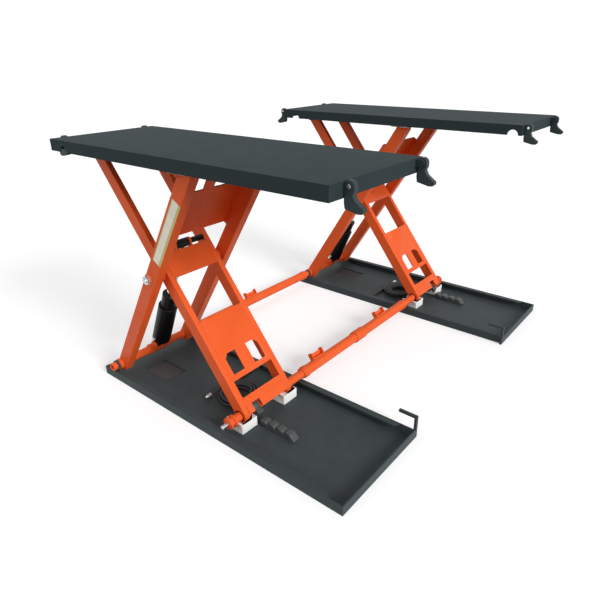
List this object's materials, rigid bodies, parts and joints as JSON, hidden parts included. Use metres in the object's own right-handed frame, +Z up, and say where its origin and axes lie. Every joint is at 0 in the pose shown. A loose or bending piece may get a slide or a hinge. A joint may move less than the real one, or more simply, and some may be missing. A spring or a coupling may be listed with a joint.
{
  "type": "mid-rise scissor car lift",
  "caption": "Mid-rise scissor car lift with two platforms on crossed arms over floor trays, joined by two cross tubes, with hydraulic cylinders and stepped locks.",
  "frame": {"origin": "on the floor, halfway between the two units and under the middle of the platforms", "axes": "+X from the base pivots towards the sliding ends, +Y across from the left unit to the right unit, +Z up"},
  "size_m": [1.616, 2.04, 1.1396],
  "materials": {
    "orange_paint": "gloss powder coat",
    "deck_paint": "fine textured powder coat",
    "tray_paint": "satin powder coat",
    "dark_steel": "satin powder coat",
    "zinc_steel": "zinc plated",
    "rod_chrome": "polished hard chrome",
    "cylinder_paint": "semi gloss black paint",
    "slide_plastic": "machined white nylon",
    "hose_rubber": "matt rubber"
  },
  "bodies": {
    "root": {"left_base_tray": "tray_paint", "left_lock_rack": "dark_steel", "left_hose": "hose_rubber", "left_hose_coupling": "zinc_steel", "right_base_tray": "tray_paint", "right_lock_rack": "dark_steel", "right_hose": "hose_rubber", "right_hose_coupling": "zinc_steel"},
    "left_outer_frame": {"left_outer_arm_outside": "orange_paint", "left_outer_arm_inside": "orange_paint", "left_outer_cross_plate": "orange_paint", "left_base_pivot_shaft": "orange_paint", "left_cylinder_foot": "orange_paint", "left_centre_pin_outside": "zinc_steel", "left_centre_pin_inside": "zinc_steel", "rear_cross_tube": "orange_paint"},
    "left_inner_frame": {"left_inner_arm_outside": "orange_paint", "left_inner_arm_inside": "orange_paint", "left_inner_panel": "orange_paint", "left_inner_band": "orange_paint", "left_lower_shaft": "orange_paint", "front_cross_tube": "orange_paint", "front_tube_sleeve": "orange_paint"},
    "left_platform": {"left_deck": "deck_paint"},
    "left_lower_slides": {"left_lower_block_outside": "slide_plastic", "left_lower_block_inside": "slide_plastic"},
    "left_upper_slides": {"left_upper_pad_outside": "slide_plastic", "left_upper_pad_inside": "slide_plastic"},
    "left_barrel": {"left_cylinder_barrel": "cylinder_paint"},
    "left_rod": {"left_cylinder_rod": "rod_chrome"},
    "left_pawl": {"left_lock_pawl": "zinc_steel"},
    "left_front_ramp_lugs": {"left_ramp_lug_front_outer": "dark_steel", "left_ramp_lug_front_inner": "dark_steel"},
    "left_rear_ramp_lugs": {"left_ramp_lug_rear_outer": "dark_steel", "left_ramp_lug_rear_inner": "dark_steel"},
    "right_outer_frame": {"right_outer_arm_outside": "orange_paint", "right_outer_arm_inside": "orange_paint", "right_outer_cross_plate": "orange_paint", "right_base_pivot_shaft": "orange_paint", "right_cylinder_foot": "orange_paint", "right_centre_pin_outside": "zinc_steel", "right_centre_pin_inside": "zinc_steel"},
    "right_inner_frame": {"right_inner_arm_outside": "orange_paint", "right_inner_arm_inside": "orange_paint", "right_inner_panel": "orange_paint", "right_inner_band": "orange_paint", "right_lower_shaft": "orange_paint"},
    "right_platform": {"right_deck": "deck_paint"},
    "right_lower_slides": {"right_lower_block_outside": "slide_plastic", "right_lower_block_inside": "slide_plastic"},
    "right_upper_slides": {"right_upper_pad_outside": "slide_plastic", "right_upper_pad_inside": "slide_plastic"},
    "right_barrel": {"right_cylinder_barrel": "cylinder_paint"},
    "right_rod": {"right_cylinder_rod": "rod_chrome"},
    "right_pawl": {"right_lock_pawl": "zinc_steel"},
    "right_front_ramp_lugs": {"right_ramp_lug_front_outer": "dark_steel", "right_ramp_lug_front_inner": "dark_steel"},
    "right_rear_ramp_lugs": {"right_ramp_lug_rear_outer": "dark_steel", "right_ramp_lug_rear_inner": "dark_steel"}
  },
  "joints": [
    {"name": "left_lift", "type": "hinge", "parent": "root", "child": "left_outer_frame", "pos_m": [-0.57, -0.754, 0.064], "axis": [0, 1, 0], "range_deg": [0, 57.1]},
    {"name": "left_scissor", "type": "hinge", "parent": "left_outer_frame", "child": "left_inner_frame", "pos_m": [-0.22707, -0.754, 0.60437], "axis": [0, 1, 0], "range_deg": [-108.66, 0.05]},
    {"name": "left_platform_pivot", "type": "hinge", "parent": "left_inner_frame", "child": "left_platform", "pos_m": [-0.59854, -0.754, 1.07936], "axis": [0, 1, 0], "range_deg": [-0.05, 51.56]},
    {"name": "left_lower_slide_pivot", "type": "hinge", "parent": "left_inner_frame", "child": "left_lower_slides", "pos_m": [0.19554, -0.754, 0.064], "axis": [0, 1, 0], "range_deg": [-0.05, 51.56]},
    {"name": "left_upper_slide_pivot", "type": "hinge", "parent": "left_outer_frame", "child": "left_upper_slides", "pos_m": [0.07437, -0.754, 1.07936], "axis": [0, 1, 0], "range_deg": [-57.15, 0.05]},
    {"name": "left_cylinder_pivot", "type": "hinge", "parent": "left_outer_frame", "child": "left_barrel", "pos_m": [-0.52772, -0.754, 0.10823], "axis": [0, 1, 0], "range_deg": [-0.05, 3.37]},
    {"name": "left_rod_slide", "type": "slide", "parent": "left_barrel", "child": "left_rod", "axis": [0.4097, 0, 0.9122], "range_m": [-0.15806, 0.0005]},
    {"name": "left_pawl_pivot", "type": "hinge", "parent": "left_lower_slides", "child": "left_pawl", "pos_m": [0.19554, -0.754, 0.064], "axis": [0, -1, 0], "range_deg": [0, 16]},
    {"name": "left_front_ramp_lug_pivot", "type": "hinge", "parent": "left_platform", "child": "left_front_ramp_lugs", "pos_m": [0.753, -0.754, 1.12255], "axis": [0, -1, 0], "range_deg": [0, 75]},
    {"name": "left_rear_ramp_lug_pivot", "type": "hinge", "parent": "left_platform", "child": "left_rear_ramp_lugs", "pos_m": [-0.753, -0.754, 1.12255], "axis": [0, 1, 0], "range_deg": [0, 75]},
    {"name": "right_lift", "type": "hinge", "parent": "root", "child": "right_outer_frame", "pos_m": [-0.57, 0.754, 0.064], "axis": [0, 1, 0], "range_deg": [-0.05, 57.15]},
    {"name": "right_scissor", "type": "hinge", "parent": "right_outer_frame", "child": "right_inner_frame", "pos_m": [-0.22707, 0.754, 0.60437], "axis": [0, 1, 0], "range_deg": [-108.66, 0.05]},
    {"name": "right_platform_pivot", "type": "hinge", "parent": "right_inner_frame", "child": "right_platform", "pos_m": [-0.59854, 0.754, 1.07936], "axis": [0, 1, 0], "range_deg": [-0.05, 51.56]},
    {"name": "right_lower_slide_pivot", "type": "hinge", "parent": "right_inner_frame", "child": "right_lower_slides", "pos_m": [0.19554, 0.754, 0.064], "axis": [0, 1, 0], "range_deg": [-0.05, 51.56]},
    {"name": "right_upper_slide_pivot", "type": "hinge", "parent": "right_outer_frame", "child": "right_upper_slides", "pos_m": [0.07437, 0.754, 1.07936], "axis": [0, 1, 0], "range_deg": [-57.15, 0.05]},
    {"name": "right_cylinder_pivot", "type": "hinge", "parent": "right_outer_frame", "child": "right_barrel", "pos_m": [-0.52772, 0.754, 0.10823], "axis": [0, 1, 0], "range_deg": [-0.05, 3.37]},
    {"name": "right_rod_slide", "type": "slide", "parent": "right_barrel", "child": "right_rod", "axis": [0.4097, 0, 0.9122], "range_m": [-0.15806, 0.0005]},
    {"name": "right_pawl_pivot", "type": "hinge", "parent": "right_lower_slides", "child": "right_pawl", "pos_m": [0.19554, 0.754, 0.064], "axis": [0, -1, 0], "range_deg": [0, 16]},
    {"name": "right_front_ramp_lug_pivot", "type": "hinge", "parent": "right_platform", "child": "right_front_ramp_lugs", "pos_m": [0.753, 0.754, 1.12255], "axis": [0, -1, 0], "range_deg": [0, 75]},
    {"name": "right_rear_ramp_lug_pivot", "type": "hinge", "parent": "right_platform", "child": "right_rear_ramp_lugs", "pos_m": [-0.753, 0.754, 1.12255], "axis": [0, 1, 0], "range_deg": [0, 75]}
  ],
  "couplings": [
    {"joint": "left_scissor", "follows": "left_lift", "ratio": -1.902},
    {"joint": "left_platform_pivot", "follows": "left_lift", "ratio": 0.90203},
    {"joint": "left_lower_slide_pivot", "follows": "left_lift", "ratio": 0.90203},
    {"joint": "left_upper_slide_pivot", "follows": "left_lift", "ratio": -1},
    {"joint": "left_cylinder_pivot", "follows": "left_lift", "ratio": 0.058092},
    {"joint": "left_rod_slide", "follows": "left_lift", "m_per_rad": -0.1581},
    {"joint": "right_lift", "follows": "left_lift", "ratio": 1},
    {"joint": "right_scissor", "follows": "left_lift", "ratio": -1.902},
    {"joint": "right_platform_pivot", "follows": "left_lift", "ratio": 0.90203},
    {"joint": "right_lower_slide_pivot", "follows": "left_lift", "ratio": 0.90203},
    {"joint": "right_upper_slide_pivot", "follows": "left_lift", "ratio": -1},
    {"joint": "right_cylinder_pivot", "follows": "left_lift", "ratio": 0.058092},
    {"joint": "right_rod_slide", "follows": "left_lift", "m_per_rad": -0.1581}
  ]
}
